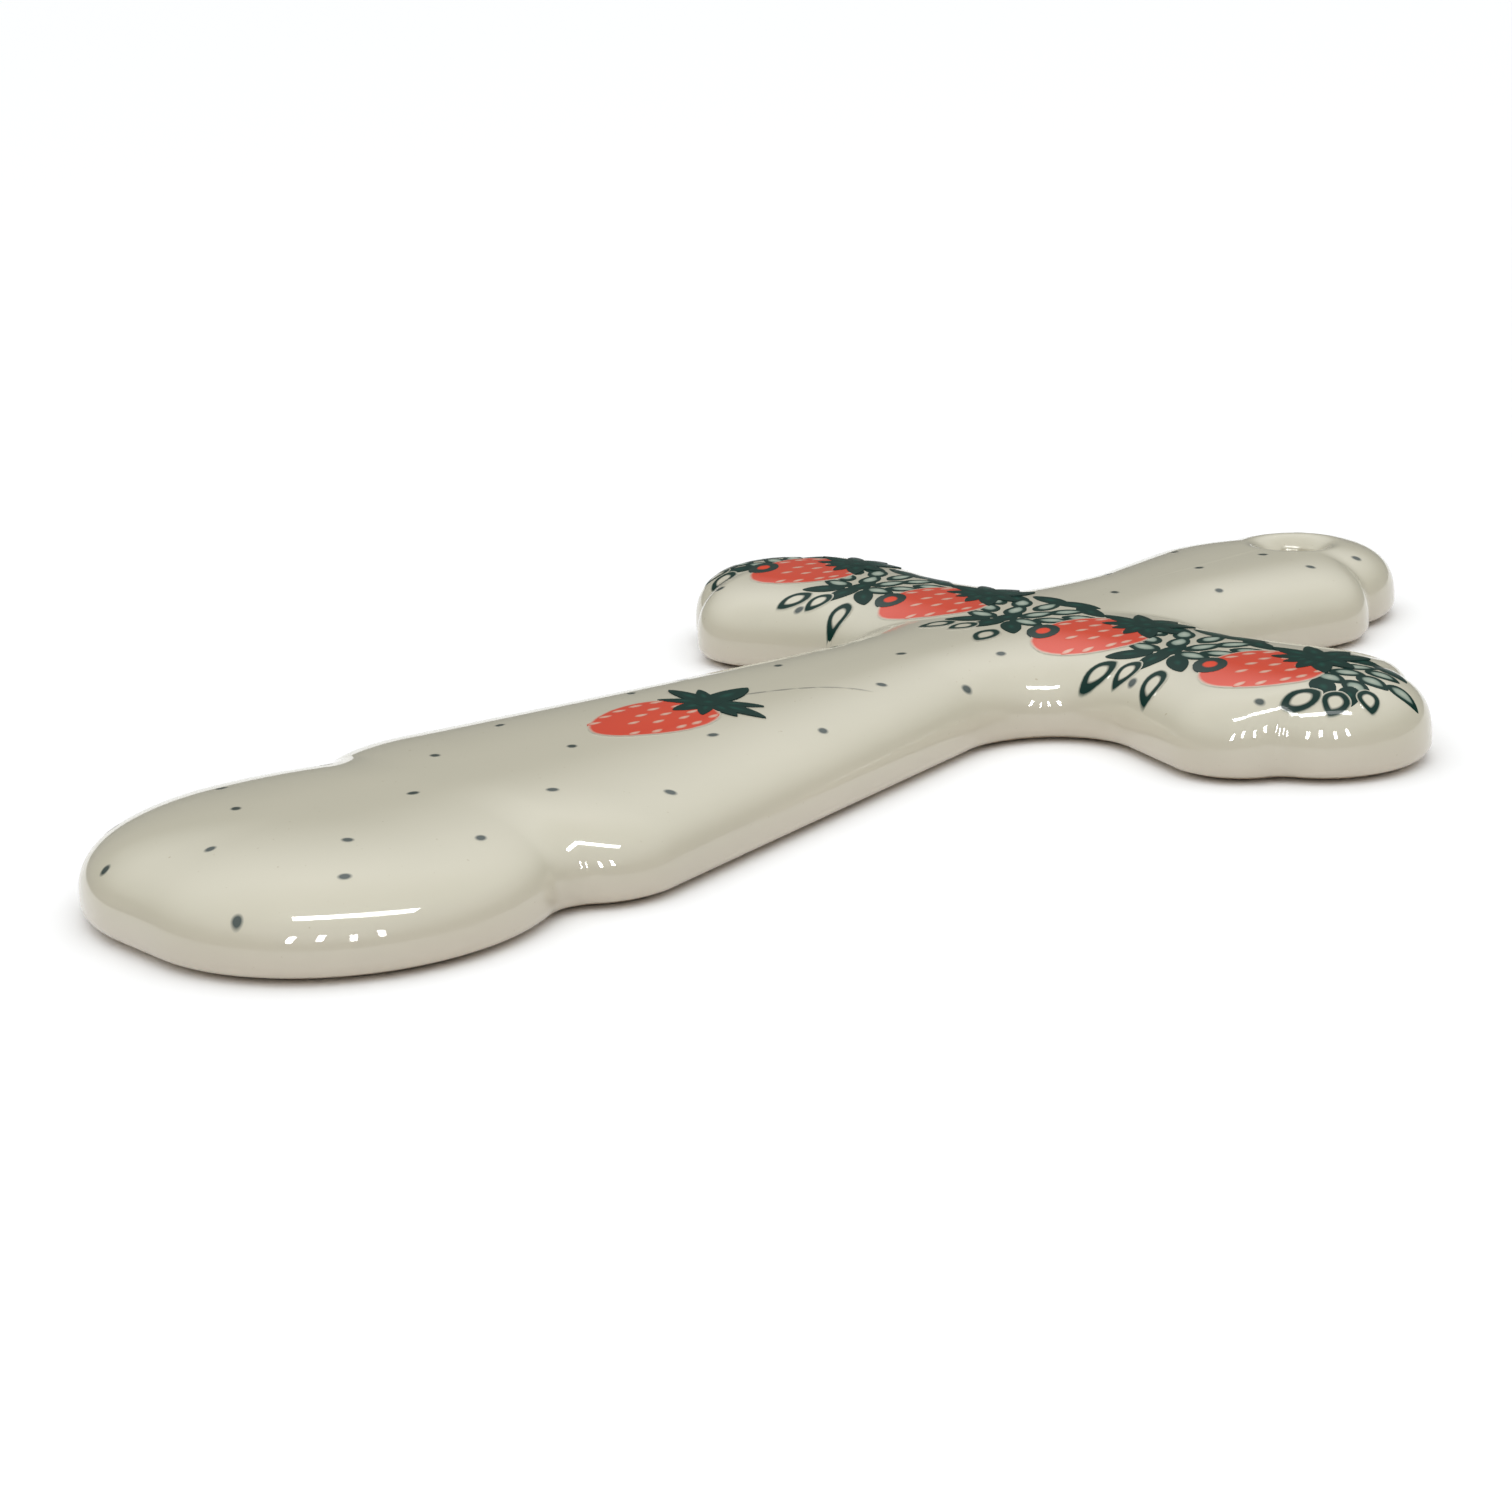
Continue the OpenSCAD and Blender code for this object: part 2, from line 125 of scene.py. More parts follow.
def right_side():
    across, back = bud_offset(LOWER_END)
    low_lobe = (LOWER_FLAT, -SPINE_LOW, LOWER_END[0], 1)
    low_bud = (LOWER_FLAT + across, back - SPINE_LOW, LOWER_END[1], 1)
    across, back = bud_offset(ARM_END)
    arm_bud_low = (SPINE_ARM - back, -across, ARM_END[1], 1)
    arm_lobe = (SPINE_ARM, 0.0, ARM_END[0], 1)
    arm_bud_up = (SPINE_ARM - back, across, ARM_END[1], 1)
    across, back = bud_offset(UPPER_END)
    up_bud = (across, SPINE_UP - back, UPPER_END[1], 1)
    up_lobe = (0.0, SPINE_UP, UPPER_END[0], 1)
    low_pit = armpit(-1, LOWER_PIT_R, arm_bud_low, low_bud)
    up_pit = armpit(1, UPPER_PIT_R, arm_bud_up, up_bud)
    circles = [low_lobe, notch(low_lobe, low_bud, LOWER_END[4]), low_bud, low_pit,
               arm_bud_low, notch(arm_bud_low, arm_lobe, ARM_END[4]), arm_lobe,
               notch(arm_lobe, arm_bud_up, ARM_END[4]), arm_bud_up, up_pit,
               up_bud, notch(up_bud, up_lobe, UPPER_END[4]), up_lobe]
    return circles, low_pit, up_pit


RIGHT, LOW_PIT, UP_PIT = right_side()
CIRCLES = RIGHT + [(-c[0], c[1], c[2], c[3]) for c in RIGHT[-2::-1]]


def join_angle(a, b):
    gap = np.subtract(b[:2], a[:2])
    k = (b[3] * b[2] - a[3] * a[2]) / np.hypot(*gap)
    return np.arctan2(gap[1], gap[0]) + np.arccos(np.clip(k, -1, 1)) + np.pi


# Arcs outside these angles are two circles that meet, and shorter joins get no points of their own
LEAST_SWEEP, MOST_SWEEP = 0.002, 6.1
LEAST_JOIN = 0.3


def outline(chord, turn):
    """Places and outward directions round the cross, counter-clockwise."""
    joins = [join_angle(c, CIRCLES[(i + 1) % len(CIRCLES)]) for i, c in enumerate(CIRCLES)]
    places, outs = [], []
    for i, c in enumerate(CIRCLES):
        nxt = CIRCLES[(i + 1) % len(CIRCLES)]
        a_in, a_out = joins[i - 1], joins[i]
        sweep = (c[3] * (a_out - a_in)) % (2 * np.pi)
        if not LEAST_SWEEP < sweep < MOST_SWEEP:
            sweep = 0.0
        steps = int(max(np.ceil(sweep * c[2] / chord), np.ceil(sweep / turn)))
        for j in range(steps):
            a = a_in + c[3] * sweep * j / steps
            places.append(c[:2] + c[3] * c[2] * heading(a))
            outs.append(heading(a))
        start = c[:2] + c[3] * c[2] * heading(a_out)
        end = nxt[:2] + nxt[3] * nxt[2] * heading(a_out)
        length = np.hypot(*(end - start))
        steps = 0 if length < LEAST_JOIN else int(np.ceil(length / chord))
        for j in range(steps):
            places.append(start + (end - start) * j / steps)
            outs.append(heading(a_out))
    return np.array(places), np.array(outs)


def partners(points):
    """The point on the axes of the cross from which the face falls to each outline point."""
    hubs = np.zeros_like(points)
    for i, (x, y) in enumerate(points):
        pit = LOW_PIT if y < 0 else UP_PIT
        past_x, past_y = abs(x) - pit[0], abs(y) - abs(pit[1])
        if max(past_x, past_y) >= 0:
            hub = (0, y) if past_y > past_x else (x, 0)
        else:
            turn = np.arctan2(-past_y, -past_x) / (np.pi / 2)
            if turn < 0.5:
                hub = (0, np.sign(y) * abs(pit[1]) * (1 - 2 * turn))
            else:
                hub = (np.sign(x) * pit[0] * (2 * turn - 1), 0)
        hubs[i] = np.clip(hub, (-SPINE_ARM, -SPINE_LOW), (SPINE_ARM, SPINE_UP))
    return hubs


# ------------------------------------------------------------------ height of the glazed face
EDGE = outline(*FINE)[0]
HUB = partners(EDGE)
EDGE2, HUB2 = np.roll(EDGE, -1, 0), np.roll(HUB, -1, 0)
WEDGE_LOW = np.minimum.reduce([EDGE, EDGE2, HUB, HUB2])
WEDGE_HIGH = np.maximum.reduce([EDGE, EDGE2, HUB, HUB2])


def share_of(points):
    """How far each point of a small group lies from the crown (0) to the flank (1)."""
    near = ((WEDGE_LOW <= points.max(0)) & (WEDGE_HIGH >= points.min(0))).all(1)
    edge, edge2, hub, hub2 = EDGE[near], EDGE2[near], HUB[near], HUB2[near]
    p = points[:, None, :]
    ray, ray2 = edge - hub, edge2 - hub2
    a = ray[:, 0] * (p[..., 1] - hub[:, 1]) - ray[:, 1] * (p[..., 0] - hub[:, 0])
    b = ray2[:, 0] * (p[..., 1] - hub2[:, 1]) - ray2[:, 1] * (p[..., 0] - hub2[:, 0])
    inside = (a >= 0) & (b < 0) & (((p - hub) * ray).sum(-1) >= 0)
    w = (a / np.where(a - b == 0, 1, a - b))[..., None]
    foot = hub + (hub2 - hub) * w
    rim = edge + (edge2 - edge) * w
    t = np.linalg.norm(p - foot, axis=-1) / np.maximum(np.linalg.norm(rim - foot, axis=-1), 1e-9)
    t = np.where(inside, t, np.inf).min(1)
    return np.where(np.isinf(t), 0, np.minimum(t, 1))


def lip_dip(x, y):
    """How much the rounded lip of the hanging hole lowers the face."""
    u = (HOLE_R + LIP_WIDTH - np.hypot(x, y - HOLE_Y)) / LIP_WIDTH
    return LIP_DEPTH * np.clip(u, 0, 1) ** 2


def face_height(points):
    t = share_of(points)
    return FLANK_HEIGHT + (THICKNESS - FLANK_HEIGHT) * (1 - t ** CROWN_POWER) ** (1 / CROWN_POWER)


def face_normals(points, step=0.25):
    dx = face_height(points + [step, 0]) - face_height(points - [step, 0])
    dy = face_height(points + [0, step]) - face_height(points - [0, step])
    n = np.stack([-dx, -dy, np.full(len(points), 2 * step)], 1)
    return n / np.linalg.norm(n, axis=1)[:, None]


# ------------------------------------------------------------------ materials

def material(name, colour, roughness, coat=1.0):
    """A shader that shines in its coat. Without a coat it has the plain gloss of its own surface."""
    mat = bpy.data.materials.new(name)
    mat.use_nodes = True
    nodes = mat.node_tree.nodes
    shader = nodes["Principled BSDF"]
    shader.inputs["Base Color"].default_value = (*colour, 1)
    shader.inputs["Roughness"].default_value = roughness
    shader.inputs["Coat Weight"].default_value = coat
    shader.inputs["Coat Roughness"].default_value = 0.02
    shader.inputs["Coat IOR"].default_value = 1.5
    shader.inputs["Specular IOR Level"].default_value = 0.05 if coat else 0.5
    return mat, nodes, mat.node_tree.links, shader


def object_coordinates(nodes):
    return nodes.new("ShaderNodeTexCoord").outputs["Object"]


def noise(nodes, links, vector, scale, detail):
    tex = nodes.new("ShaderNodeTexNoise")
    tex.inputs["Scale"].default_value = scale
    tex.inputs["Detail"].default_value = detail
    links.new(vector, tex.inputs["Vector"])
    return tex.outputs["Fac"]


def ramp(nodes, links, factor, stops):
    node = nodes.new("ShaderNodeValToRGB")
    elements = node.color_ramp.elements
    while len(elements) < len(stops):
        elements.new(0.5)
    for element, (place, colour) in zip(elements, stops):
        element.position = place
        element.color = (*colour, 1)
    links.new(factor, node.inputs["Fac"])
    return node.outputs["Color"]


def mix(nodes, links, factor, a, b, mode="MIX"):
    node = nodes.new("ShaderNodeMix")
    node.data_type = "RGBA"
    node.blend_type = mode
    for value, socket in ((factor, node.inputs["Factor"]), (a, node.inputs["A"]), (b, node.inputs["B"])):
        if isinstance(value, (int, float)):
            socket.default_value = value
        elif isinstance(value, tuple):
            socket.default_value = (*value, 1)
        else:
            links.new(value, socket)
    return node.outputs["Result"]


def bump(nodes, links, height, strength, distance):
    node = nodes.new("ShaderNodeBump")
    node.inputs["Strength"].default_value = strength
    node.inputs["Distance"].default_value = distance
    links.new(height, node.inputs["Height"])
    return node.outputs["Normal"]


CREAM = (0.620, 0.585, 0.460)
# Warm thin glaze low on the flank, also made darker than the cream as painted shade
CREAM_WARM_SHADED = (0.570, 0.505, 0.415)
MOTTLE = [(0.3, (0.96, 0.965, 0.96)), (0.7, (1, 1, 1))]
SPECKS = [(0.76, (1, 1, 1)), (0.84, (0.80, 0.75, 0.68))]
# Heights between which the thin warm glaze of the foot, painted darker there as shade, turns into the
# full cream
WARM_UP_TO, CREAM_FROM = 0.5, 8.0
GLAZE_ROUGHNESS = 0.35


def glaze_colour(nodes, links):
    """Cream glaze: warmer and thinner low on the flank, and darker there as painted shade, faintly
    mottled, with a few fine specks.
    """
    where = object_coordinates(nodes)
    split = nodes.new("ShaderNodeSeparateXYZ")
    links.new(where, split.inputs[0])
    by_height = nodes.new("ShaderNodeMapRange")
    by_height.inputs["From Min"].default_value = WARM_UP_TO * MM
    by_height.inputs["From Max"].default_value = CREAM_FROM * MM
    links.new(split.outputs["Z"], by_height.inputs["Value"])
    # Painted shade: the colour towards the foot is darker as well as warmer
    body = mix(nodes, links, by_height.outputs["Result"], CREAM_WARM_SHADED, CREAM)
    mottled = ramp(nodes, links, noise(nodes, links, where, scale=40, detail=3.0), MOTTLE)
    body = mix(nodes, links, 1.0, body, mottled, "MULTIPLY")
    specks = ramp(nodes, links, noise(nodes, links, where, scale=1300, detail=1.0), SPECKS)
    return mix(nodes, links, 1.0, body, specks, "MULTIPLY")


def make_glaze():
    mat, nodes, links, shader = material("cream_glaze", CREAM, GLAZE_ROUGHNESS)
    links.new(glaze_colour(nodes, links), shader.inputs["Base Color"])
    ripple = noise(nodes, links, object_coordinates(nodes), scale=110, detail=2.0)
    waves = bump(nodes, links, ripple, strength=0.03, distance=0.3 * MM)
    links.new(waves, shader.inputs["Coat Normal"])
    return mat


CLAY_CLOUDS = [(0.3, (0.45, 0.36, 0.26)), (0.7, (0.58, 0.48, 0.36))]
CLAY_FLECKS = [(0.30, (0.55, 0.48, 0.40)), (0.40, (1, 1, 1))]


def make_clay():
    """Unglazed stoneware: buff, cloudy, with fine darker grains that also roughen it."""
    mat, nodes, links, shader = material("bare_clay", CLAY_CLOUDS[0][1], 0.85, coat=0.0)
    where = object_coordinates(nodes)
    grains = noise(nodes, links, where, scale=1400, detail=4.0)
    base = ramp(nodes, links, noise(nodes, links, where, scale=60, detail=4.0), CLAY_CLOUDS)
    fleck = ramp(nodes, links, grains, CLAY_FLECKS)
    links.new(mix(nodes, links, 1.0, base, fleck, "MULTIPLY"), shader.inputs["Base Color"])
    tooth = bump(nodes, links, grains, strength=0.35, distance=0.2 * MM)
    links.new(tooth, shader.inputs["Normal"])
    return mat


def make_paint(name, colours, cover, wander=0.10, gloss=1.0):
    """Brushed colour in the glaze. Both ramps run from a patch's rim (0) to its middle (1).

    The cover is how much the colour hides the cream, the wander how far the brush strays from
    the ramps, and the gloss how much of the coat's shine is left where the colour covers.
    """
    mat, nodes, links, shader = material(name, colours[-1][1], GLAZE_ROUGHNESS, gloss)
    where = object_coordinates(nodes)
    depth = nodes.new("ShaderNodeAttribute")
    depth.attribute_name = "depth"
    wobble = nodes.new("ShaderNodeMapRange")
    wobble.inputs["To Min"].default_value = -wander
    wobble.inputs["To Max"].default_value = wander
    links.new(noise(nodes, links, where, scale=420, detail=2.0), wobble.inputs["Value"])
    add = nodes.new("ShaderNodeMath")
    add.operation = "ADD"
    links.new(depth.outputs["Fac"], add.inputs[0])
    links.new(wobble.outputs["Result"], add.inputs[1])
    paint = ramp(nodes, links, add.outputs["Value"], colours)
    greys = [(place, (share,) * 3) for place, share in cover]
    covers = ramp(nodes, links, add.outputs["Value"], greys)
    colour = mix(nodes, links, covers, glaze_colour(nodes, links), paint)
    links.new(colour, shader.inputs["Base Color"])
    if gloss < 1 and cover is not FULL:
        shine = nodes.new("ShaderNodeMapRange")
        shine.inputs["To Min"].default_value = 1.0
        shine.inputs["To Max"].default_value = gloss
        links.new(covers, shine.inputs["Value"])
        links.new(shine.outputs["Result"], shader.inputs["Coat Weight"])
    return mat


# A cover that hides the cream from rim to middle
FULL = [(0.0, 1), (1.0, 1)]

GREEN_DARK = (0.001, 0.026, 0.019)
GREEN_MID = (0.004, 0.060, 0.043)
GREEN_PALE = (0.26, 0.33, 0.27)
GREEN_WASH = (0.42, 0.46, 0.38)
RED = (0.72, 0.046, 0.008)
RED_DEEP = (0.76, 0.056, 0.010)
SEED_PINK = (0.74, 0.34, 0.24)
SEED_PALE = (0.76, 0.52, 0.40)
DOT_GREY = (0.030, 0.050, 0.042)
LINE_GREY = (0.22, 0.22, 0.18)
# The dark green dulls the glaze over it, and a ring is half green and half red
GREEN_GLOSS = 0.1
RING_GLOSS = 0.5

GLAZE = make_glaze()
CLAY = make_clay()
BERRY = make_paint("strawberry_red", [(0.0, RED), (1.0, RED_DEEP)],
                   [(0.0, 0), (0.06, 1), (1.0, 1)], 0.02)
SEED = make_paint("seed_pink", [(0.0, RED), (0.30, SEED_PINK), (1.0, SEED_PALE)], FULL)
LEAF = make_paint("leaf_green", [(0.0, GREEN_DARK), (0.6, GREEN_DARK), (1.0, GREEN_MID)],
                  FULL, gloss=GREEN_GLOSS)
LEAF_OPEN = make_paint("leaf_outlined",
                       [(0.0, GREEN_DARK), (0.34, GREEN_DARK), (0.52, GREEN_PALE), (1.0, GREEN_WASH)],
                       FULL, gloss=GREEN_GLOSS)
LEAF_LOOP = make_paint("leaf_loop", [(0.0, GREEN_MID), (0.15, GREEN_DARK), (1.0, GREEN_DARK)],
                       [(0.0, 0), (0.14, 1), (0.44, 1), (0.60, 0), (1.0, 0)], 0.05, GREEN_GLOSS)
RING = make_paint("berry_ring",
                  [(0.0, GREEN_DARK), (0.52, GREEN_DARK), (0.64, RED), (1.0, RED_DEEP)],
                  FULL, 0.06, RING_GLOSS)
DOT = make_paint("grey_green", [(0.0, DOT_GREY), (1.0, DOT_GREY)],
                 [(0.0, 0), (0.45, 1), (1.0, 1)])
LINE = make_paint("grey_line", [(0.0, LINE_GREY), (1.0, LINE_GREY)],
                  [(0.0, 0), (0.6, 0.8), (1.0, 0.9)])


# ------------------------------------------------------------------ meshes

def placed(line, middle, angle):
    """A line turned by an angle in degrees and moved to its middle."""
    c, s = np.cos(radians(angle)), np.sin(radians(angle))
    x, y = line[:, 0], line[:, 1]
    return np.array(middle) + np.column_stack([x * c - y * s, x * s + y * c])


def turns(n):
    return np.linspace(0, 2 * np.pi, n, endpoint=False)


def oval_line(length, width, n=20):
    """An oval with its length along X."""
    a = turns(n)
    return np.column_stack([length / 2 * np.cos(a), width / 2 * np.sin(a)])


def mesh_object(name, verts, faces, mats):
    mesh = bpy.data.meshes.new(name)
    mesh.from_pydata([tuple(v) for v in np.asarray(verts) * MM], [], faces)
    mesh.polygons.foreach_set("use_smooth", [True] * len(mesh.polygons))
    for mat in mats:
        mesh.materials.append(mat)
    obj = bpy.data.objects.new(name, mesh)
    bpy.context.scene.collection.objects.link(obj)
    return obj


def foot_ring(edge, outs, angle, inset):
    plan = edge - outs * (inset + FOOT_INSET * (1 - np.sin(angle)))
    return np.column_stack([plan, np.full(len(plan), FLANK_HEIGHT * (1 - np.cos(angle)))])


def crown_ring(edge, outs, hub, angle, inset):
    shrink = np.cos(angle) ** (2 / CROWN_POWER)
    rise = np.sin(angle) ** (2 / CROWN_POWER)
    plan = hub + (edge - outs * inset - hub) * shrink
    z = FLANK_HEIGHT + (THICKNESS - inset - FLANK_HEIGHT) * rise
    return np.column_stack([plan, np.full(len(plan), z)])


GLAZE_ANGLE = np.arccos(1 - GLAZE_LINE / FLANK_HEIGHT)
CROWN_LAST = radians(89.8)
SHARP_FROM = radians(50)


def glazed_rings(fineness, foot, crown, inset):
    """Rings from the glaze line up to the crown, that many on the foot and on the domed face."""
    edge, outs = outline(*fineness)
    hub = partners(edge)
    low = [foot_ring(edge, outs, a, inset) for a in np.linspace(GLAZE_ANGLE, np.pi / 2, foot)[:-1]]
    return low + [crown_ring(edge, outs, hub, a, inset) for a in np.linspace(0, CROWN_LAST, crown)]


def band(n, k):
    """Faces between ring k and the next one, of n points each."""
    return [[k * n + i, k * n + (i + 1) % n, (k + 1) * n + (i + 1) % n, (k + 1) * n + i]
            for i in range(n)]


def loft(name, rings, mats):
    """A closed mesh through a list of rings, with a flat cap on the first and the last."""
    n, top = len(rings[0]), len(rings) - 1
    faces = [list(range(n))[::-1]]
    for k in range(top):
        faces += band(n, k)
    faces.append([top * n + i for i in range(n)])
    return mesh_object(name, np.concatenate(rings), faces, mats)


def drill(obj):
    """Cut the hanging hole with a fine cylinder, and sink the face round it into a soft lip."""
    circle = placed(oval_line(2 * HOLE_R, 2 * HOLE_R, HOLE_SIDES), (0, HOLE_Y), 0)
    ends = (-CUTTER_OVER, THICKNESS + CUTTER_OVER)
    cutter = loft("cutter", [np.column_stack([circle, np.full(len(circle), z)]) for z in ends], [])
    cut = obj.modifiers.new("hole", "BOOLEAN")
    cut.operation = "DIFFERENCE"
    cut.solver = "EXACT"
    cut.object = cutter
    bake_modifiers(obj)
    bpy.data.objects.remove(cutter, do_unlink=True)
    for v in obj.data.vertices:
        x, y, z = v.co / MM
        if z > LIP_FROM:
            v.co.z -= lip_dip(x, y) * MM
    obj.data.set_sharp_from_angle(angle=SHARP_FROM)


def bake_modifiers(obj):
    graph = bpy.context.evaluated_depsgraph_get()
    done = bpy.data.meshes.new_from_object(obj.evaluated_get(graph))
    obj.modifiers.clear()
    obj.data = done
    done.polygons.foreach_set("use_smooth", [True] * len(done.polygons))


def ride_as(piece, node):
    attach(piece, "root")
    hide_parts(node)


# Upright faces this near to the hole's radius are its wall
HOLE_MARGIN = 0.3


def build_clay():
    """The fired clay, bare on its back and foot, with glaze run into the hanging hole."""
    bare = [foot_ring(*outline(*MEDIUM), a, GLAZE_T) for a in np.linspace(0, GLAZE_ANGLE, 6)[:-1]]
    glazed = glazed_rings(MEDIUM, foot=4, crown=26, inset=GLAZE_T)
    clay = loft("clay_body_fired", bare + glazed, [CLAY, GLAZE])
    drill(clay)
    for face in clay.data.polygons:
        x, y, z = face.center / MM
        by_hole = np.hypot(x, y - HOLE_Y) < HOLE_R + HOLE_MARGIN
        in_hole = by_hole and abs(face.normal.z) < 0.5
        face.material_index = 1 if in_hole and z > GLAZE_LINE else 0
    ride_as(clay, "clay_body")


def build_glaze():
    """The glaze as a shell: down its inside and up its outside."""
    inner = glazed_rings(FINE, foot=5, crown=14, inset=GLAZE_T)
    outer = glazed_rings(FINE, foot=8, crown=56, inset=0.0)
    glaze = loft("glaze_coat_glossy", inner[::-1] + outer, [GLAZE])
    drill(glaze)
    ride_as(glaze, "glaze_coat")


# ------------------------------------------------------------------ patches of brushed colour
# A patch is (middle, line, layer, bands, material index): its line can be seen all round from its
# middle, and the bands are its rings of faces from rim to middle.

# How far a patch's rim stands on the glaze, how much more its middle does, and how steeply it swells
PAINT_BASE = 0.015
PAINT_SWELL = 0.01
SWELL_SLOPE = 6
# The step from one layer to the next, and the whole thickness of a patch
LAYER_STEP = 0.014
PAINT_T = 0.4
LEAF_BANDS, OVAL_BANDS, RING_BANDS, BERRY_BANDS = 5, 4, 6, 14


def patch_shell(middle, line, bands):
    """Plan points from rim to middle, their depth (0 at the rim, 1 in the middle), and top faces."""
    n = len(line)
    shares = np.linspace(1, 0, bands + 1)[:-1]
    plan = np.concatenate([middle + (line - middle) * s for s in shares] + [[middle]])
    depth = np.concatenate([np.full(n, 1 - s) for s in shares] + [[1.0]])
    faces = [face for k in range(bands - 1) for face in band(n, k)]
    last = (bands - 1) * n
    faces += [[last + i, last + (i + 1) % n, len(plan) - 1] for i in range(n)]
    return plan, depth, faces


def painted(name, node, mats, patches):
    """One piece from many patches, each a thin closed lens of colour that follows the face."""
    tops, depths, normals, faces, kinds, start = [], [], [], [], [], 0
    shells = [patch_shell(np.array(middle, float), line, bands) for middle, line, _, bands, _ in patches]
    total = sum(len(plan) for plan, _, _ in shells)
    for (_, line, layer, _, kind), (plan, depth, upper) in zip(patches, shells):
        n = len(line)
        lift = PAINT_BASE + LAYER_STEP * layer + PAINT_SWELL * np.minimum(depth * SWELL_SLOPE, 1)
        tops.append(np.column_stack([plan, face_height(plan) + lift]))
        normals.append(face_normals(plan))
        depths.append(depth)
        under = [[v + total for v in reversed(face)] for face in upper]
        rim = [[(i + 1) % n, i, i + total, (i + 1) % n + total] for i in range(n)]
        faces += [[v + start for v in face] for face in upper + under + rim]
        kinds += [kind] * (2 * len(upper) + n)
        start += len(plan)
    top, normals = np.concatenate(tops), np.concatenate(normals)
    obj = mesh_object(name, np.concatenate([top, top - [0, 0, PAINT_T]]), faces, mats)
    obj.data.polygons.foreach_set("material_index", kinds)
    attribute = obj.data.attributes.new("depth", "FLOAT", "POINT")
    attribute.data.foreach_set("value", np.tile(np.concatenate(depths), 2))
    both = np.concatenate([normals, -normals])
    obj.data.normals_split_custom_set_from_vertices([tuple(v) for v in both])
    ride_as(obj, node)


def leaf_line(length, width, n=26):
    """A brushed leaf, round at its stem end (-X) and drawn to a point at its tip (+X)."""
    a = turns(n)
    belly = np.abs(np.sin(a)) ** 0.35 * (1 - 0.22 * np.cos(a))
    return np.column_stack([length / 2 * np.cos(a), width / 2 * np.sin(a) * belly])


def berry_girth(up):
    """How much fuller a strawberry is than an ellipse, from its tip (-1) to its stem (1)."""
    return 0.93 + 0.20 * up


def berry_outline(width, length, n=56):
    """A plump strawberry: broad shoulders, a shallow dent at the stem (+Y) and a blunt tip (-Y)."""
    a = turns(n) + np.pi / 2
    off_stem = np.abs(np.angle(np.exp(1j * (a - np.pi / 2))))
    dent = 0.05 * np.exp(-(off_stem / 0.4) ** 2)
    x = width / 2 * np.cos(a) * berry_girth(np.sin(a))
    y = length / 2 * (np.sin(a) - dent)
    return np.column_stack([x, y])


def leaf(x, y, angle, length, width, layer, kind=0):
    return ((x, y), placed(leaf_line(length, width), (x, y), angle), layer, LEAF_BANDS, kind)


def oval(x, y, angle, length, width, layer, bands=OVAL_BANDS):
    return ((x, y), placed(oval_line(length, width), (x, y), angle), layer, bands, 0)


STROKE_OVERLAP = 1.5


def stroke(points, widths, layer):
    """A brush stroke as short overlapping ovals along a path."""
    path = np.array(points, float)
    result = []
    for i in range(len(path) - 1):
        gap = path[i + 1] - path[i]
        angle = np.degrees(np.arctan2(gap[1], gap[0]))
        middle = (path[i] + path[i + 1]) / 2
        length = np.hypot(*gap) * STROKE_OVERLAP
        result.append(oval(*middle, angle, length, widths[i], layer + 0.5 * (i % 2), bands=3))
    return result


# ------------------------------------------------------------------ layout of the painting
LONE = (1.0, -74.0)
LONE_SIZE = (17.0, 19.0)
GARLAND = [(-48.5, -1.5), (-16.5, -4.0), (16.0, -4.5), (47.5, -4.5)]
GARLAND_SIZE = (18.4, 17.6)
GARLAND_TILT = -20.0
GAPS = [(-33.0, -4.0), (-0.5, -5.0), (31.5, -5.0)]

# The layers keep coats that overlap apart: leaves, then berries, then what lies on the berries
LEAF_STEP = 0.35
LOOP_LAYER, BERRY_LAYER, ON_BERRY_LAYER = 7, 8, 11

# Seeds in each row of a strawberry, from its shoulders to its tip
SEED_ROWS = (4, 5, 4, 3, 2)
SEED_SIZE = (2.3, 1.15)
# In shares of a strawberry's half length or half width: the first row's place, the step from row
# to row, how much of the width a row takes, and how far every second seed sits higher
SEED_TOP, SEED_STEP, SEED_SPAN, SEED_STAGGER = 0.60, 0.32, 0.80, 0.05
# How much the outermost seeds lean
SEED_LEAN = 18

# The round root of a stalk, how far it lies beyond the strawberry, and the share of a sepal's
# length from there to its middle
ROOT_SIZE = (4.4, 3.6)
ROOT_RISE = 0.6
SEPAL_REACH = 0.45


def along(place, tilt, across, up):
    """A point given across and up a strawberry that hangs at a tilt."""
    return placed(np.array([[across, up]], float), place, tilt)[0]


def strawberry(place, size, tilt):
    return [(place, placed(berry_outline(*size), place, tilt), BERRY_LAYER, BERRY_BANDS, 0)]


def seeds_of(place, size, tilt):
    """Pale seeds in staggered rows that narrow towards the tip."""
    patches = []
    for row, count in enumerate(SEED_ROWS):
        up = SEED_TOP - SEED_STEP * row
        half = SEED_SPAN * np.sqrt(1 - up ** 2) * berry_girth(up)
        for i in range(count):
            across = half * (2 * i / (count - 1) - 1)
            stagger = SEED_STAGGER * (i % 2)
            x, y = along(place, tilt, across * size[0] / 2, (up + stagger) * size[1] / 2)
            angle = 90 + tilt + SEED_LEAN * across
            patches.append(leaf(x, y, angle, *SEED_SIZE, ON_BERRY_LAYER))
    return patches


def calyx_of(place, size, tilt, sepals):
    """Dark sepals that spread from the stem end, and the round root of the stalk."""
    x, y = along(place, tilt, 0, size[1] / 2 + ROOT_RISE)
    patches = [oval(x, y, tilt, *ROOT_SIZE, ON_BERRY_LAYER + 4)]
    for k, (angle, length, width) in enumerate(sepals):
        turn = radians(angle + tilt)
        middle = (x + length * SEPAL_REACH * np.cos(turn), y + length * SEPAL_REACH * np.sin(turn))
        layer = ON_BERRY_LAYER + 1 + 0.5 * (k % 4)
        patches.append(leaf(*middle, angle + tilt, length, width, layer))
    return patches


